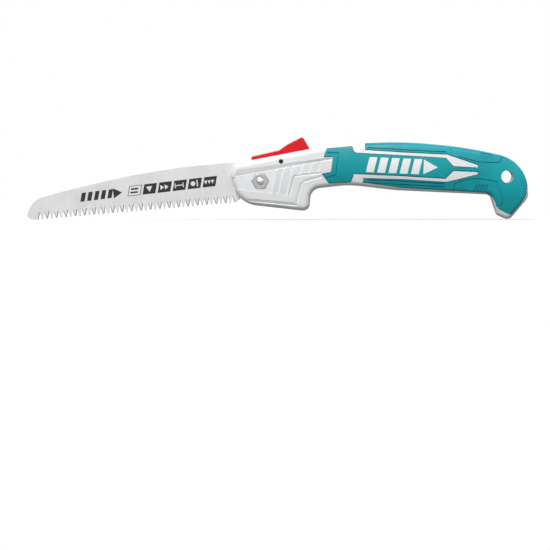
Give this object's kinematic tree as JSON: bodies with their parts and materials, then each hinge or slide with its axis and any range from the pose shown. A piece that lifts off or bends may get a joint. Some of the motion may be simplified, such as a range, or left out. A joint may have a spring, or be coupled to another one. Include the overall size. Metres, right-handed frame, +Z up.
{
  "type": "folding japanese pull saw",
  "caption": "Folding pull-stroke pruning saw: toothed steel blade on a pivot, hard shells with soft grip, thumb lock lever and hanging hole.",
  "frame": {"origin": "centre of the hanging hole on the middle plane of the handle", "axes": "X from the blade tip (-X) to the butt (+X), Z up towards the back of the blade, Y across the handle; the saw is stored open"},
  "size_m": [0.385, 0.0248, 0.0636],
  "materials": {
    "blade_steel": "satin ground",
    "shell_plastic": "light grey satin",
    "grip_rubber": "soft teal elastomer",
    "lever_plastic": "red, semi-gloss",
    "pawl_steel": "hardened, plain",
    "black_steel": "blackened",
    "spring_steel": "spring wire",
    "zinc_steel": "bright zinc",
    "nylon": "natural nylon",
    "washer_brass": "plain"
  },
  "bodies": {
    "handle": {"handle_shell_left": "shell_plastic", "handle_shell_right": "shell_plastic", "grip_left": "grip_rubber", "grip_right": "grip_rubber", "lever_pin": "black_steel", "lever_spring": "spring_steel", "stop_pin": "pawl_steel", "pivot_bolt": "zinc_steel", "pivot_nut": "zinc_steel", "nut_lock_ring": "nylon", "nut_plate": "zinc_steel", "bolt_washer": "zinc_steel", "pivot_sleeve": "pawl_steel", "blade_washer_left": "washer_brass", "blade_washer_right": "washer_brass", "shell_screws": "black_steel"},
    "folding_blade": {"blade": "blade_steel"},
    "lock_lever": {"thumb_lever": "lever_plastic", "lock_pawl": "pawl_steel"}
  },
  "joints": [
    {"name": "blade_fold", "type": "hinge", "parent": "handle", "child": "folding_blade", "pos_m": [-0.1893, 0, -0.0035], "axis": [0, -1, 0], "range_deg": [0, 172]},
    {"name": "lever_rock", "type": "hinge", "parent": "handle", "child": "lock_lever", "pos_m": [-0.1735, 0, 0.0117], "axis": [0, 1, 0], "range_deg": [-4.5, 4.5], "stiffness_Nm_per_rad": 1.5, "deforming": ["lever_spring"]}
  ]
}
